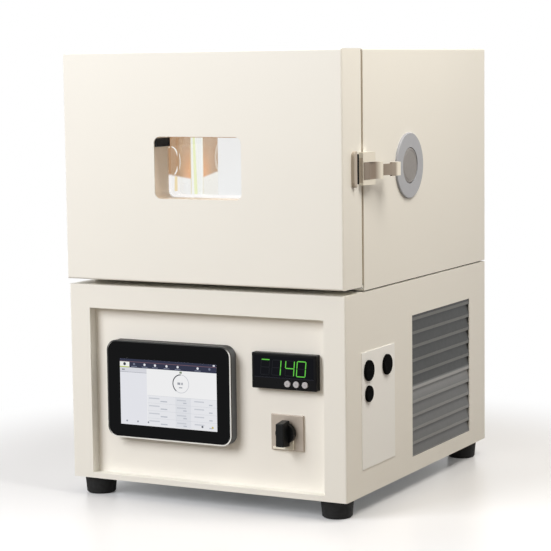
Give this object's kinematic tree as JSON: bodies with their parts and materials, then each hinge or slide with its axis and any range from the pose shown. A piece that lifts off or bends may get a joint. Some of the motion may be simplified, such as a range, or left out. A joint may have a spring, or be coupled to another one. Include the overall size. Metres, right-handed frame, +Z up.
{
  "type": "temperature test chamber",
  "caption": "Bench-top temperature test chamber: insulated test space with a window door and latch, on a base with touch panel, limiter, main switch and louvre.",
  "frame": {"origin": "on the floor, under the centre of the cabinet, door included", "axes": "+X to the right seen from the front, +Y to the back, +Z up"},
  "size_m": [0.47, 0.502, 0.616],
  "materials": {
    "powder_coat": "warm off-white powder coat, fine satin",
    "panel_coat": "warm off-white powder coat, satin",
    "plate_coat": "light grey-beige powder coat, satin",
    "grille_paint": "dark grey paint, satin",
    "stainless": "polished stainless sheet",
    "galvanised": "galvanised sheet",
    "bright_steel": "bright plated steel",
    "housing_plastic": "dark grey moulded plastic",
    "trim": "bright satin anodised trim",
    "cover_glass": "cover glass, printed black on its back",
    "display": "lit screen",
    "instrument": "black moulded instrument housing",
    "dark_window": "dark display filter",
    "key": "soft light grey key",
    "switch_plate": "grey-beige moulded plate",
    "black_plastic": "black moulded plastic",
    "pointer": "cream insert",
    "black_rubber": "black moulded rubber",
    "seal": "soft silicone profile",
    "strip": "dark foam strip",
    "foam": "rigid insulating foam",
    "fins": "aluminium fins on copper tube",
    "compressor_paint": "black stove enamel",
    "motor": "dark painted housing",
    "wheel": "pressed aluminium",
    "pane": "clear glass",
    "port_ring": "grey moulded ring",
    "plug": "grey silicone",
    "latch": "cream painted casting"
  },
  "bodies": {
    "cabinet": {"base_housing": "powder_coat", "base_floor_pan": "galvanised", "base_rear_panel": "powder_coat", "front_panel": "panel_coat", "touch_panel_housing": "housing_plastic", "touch_panel_trim": "trim", "touch_glass": "cover_glass", "touch_display": "display", "limiter_housing": "instrument", "limiter_window": "dark_window", "switch_plate": "switch_plate", "switch_body": "black_plastic", "connection_plate": "plate_coat", "connector_caps": "black_plastic", "side_grille": "grille_paint", "condenser_coil": "fins", "condenser_fan_shroud": "galvanised", "condenser_fan_motor": "motor", "compressor": "compressor_paint", "control_box": "galvanised", "mains_inlet": "black_plastic", "feet": "black_rubber", "seam_strip": "strip", "upper_housing": "powder_coat", "upper_rear_panel": "powder_coat", "insulation": "foam", "test_space_liner": "stainless", "face_frame": "stainless", "air_baffle": "stainless", "evaporator": "fins", "heater": "bright_steel", "circulation_fan_motor": "motor", "temperature_sensor": "bright_steel", "shelf_rails": "stainless", "port_tubes": "port_ring", "body_hinge_leaves": "latch", "hinge_pins": "bright_steel", "latch_housing": "latch", "latch_pin": "bright_steel"},
    "door": {"door_hinge_leaves": "latch", "door_outer_skin": "powder_coat", "door_inner_skin": "stainless", "door_insulation": "foam", "window_frame": "stainless", "window_outer_pane": "pane", "window_inner_pane": "pane", "door_gasket": "seal", "window_lamp": "black_plastic", "latch_keeper": "latch"},
    "latch_lever": {"latch_lever": "latch"},
    "shelf": {"shelf": "bright_steel"},
    "circulation_fan": {"circulation_fan_wheel": "wheel"},
    "condenser_fan": {"condenser_fan_wheel": "wheel"},
    "right_plug": {"port_plug_right": "plug"},
    "left_plug": {"port_plug_left": "plug"},
    "main_switch": {"switch_knob": "black_plastic", "switch_pointer": "pointer"},
    "key_left": {"limiter_key_left": "key"},
    "key_middle": {"limiter_key_middle": "key"},
    "key_right": {"limiter_key_right": "key"}
  },
  "joints": [
    {"name": "door_hinge", "type": "hinge", "parent": "cabinet", "child": "door", "pos_m": [-0.2225, -0.18675, 0.4605], "axis": [0, 0, -1], "range_deg": [0, 110]},
    {"name": "latch_turn", "type": "hinge", "parent": "cabinet", "child": "latch_lever", "pos_m": [0.2185, -0.18175, 0.46], "axis": [0, 0, -1], "range_deg": [0, 70]},
    {"name": "shelf_slide", "type": "slide", "parent": "cabinet", "child": "shelf", "axis": [0, -1, 0], "range_m": [0, 0.02]},
    {"name": "circulation_fan_spin", "type": "hinge", "parent": "cabinet", "child": "circulation_fan", "pos_m": [0, 0.06825, 0.4575], "axis": [0, 1, 0], "continuous": true},
    {"name": "condenser_fan_spin", "type": "hinge", "parent": "cabinet", "child": "condenser_fan", "pos_m": [0.16, 0.07825, 0.1165], "axis": [-1, 0, 0], "continuous": true},
    {"name": "right_plug_slide", "type": "slide", "parent": "cabinet", "child": "right_plug", "axis": [1, 0, 0], "range_m": [0, 0.06]},
    {"name": "left_plug_slide", "type": "slide", "parent": "cabinet", "child": "left_plug", "axis": [-1, 0, 0], "range_m": [0, 0.06]},
    {"name": "main_switch_turn", "type": "hinge", "parent": "cabinet", "child": "main_switch", "pos_m": [0.1195, -0.23675, 0.11], "axis": [0, 1, 0], "range_deg": [0, 90]},
    {"name": "key_left_press", "type": "slide", "parent": "cabinet", "child": "key_left", "axis": [0, 1, 0], "range_m": [0, 0.001], "stiffness_N_per_m": 800, "springref_m": -0.0005},
    {"name": "key_middle_press", "type": "slide", "parent": "cabinet", "child": "key_middle", "axis": [0, 1, 0], "range_m": [0, 0.001], "stiffness_N_per_m": 800, "springref_m": -0.0005},
    {"name": "key_right_press", "type": "slide", "parent": "cabinet", "child": "key_right", "axis": [0, 1, 0], "range_m": [0, 0.001], "stiffness_N_per_m": 800, "springref_m": -0.0005}
  ]
}
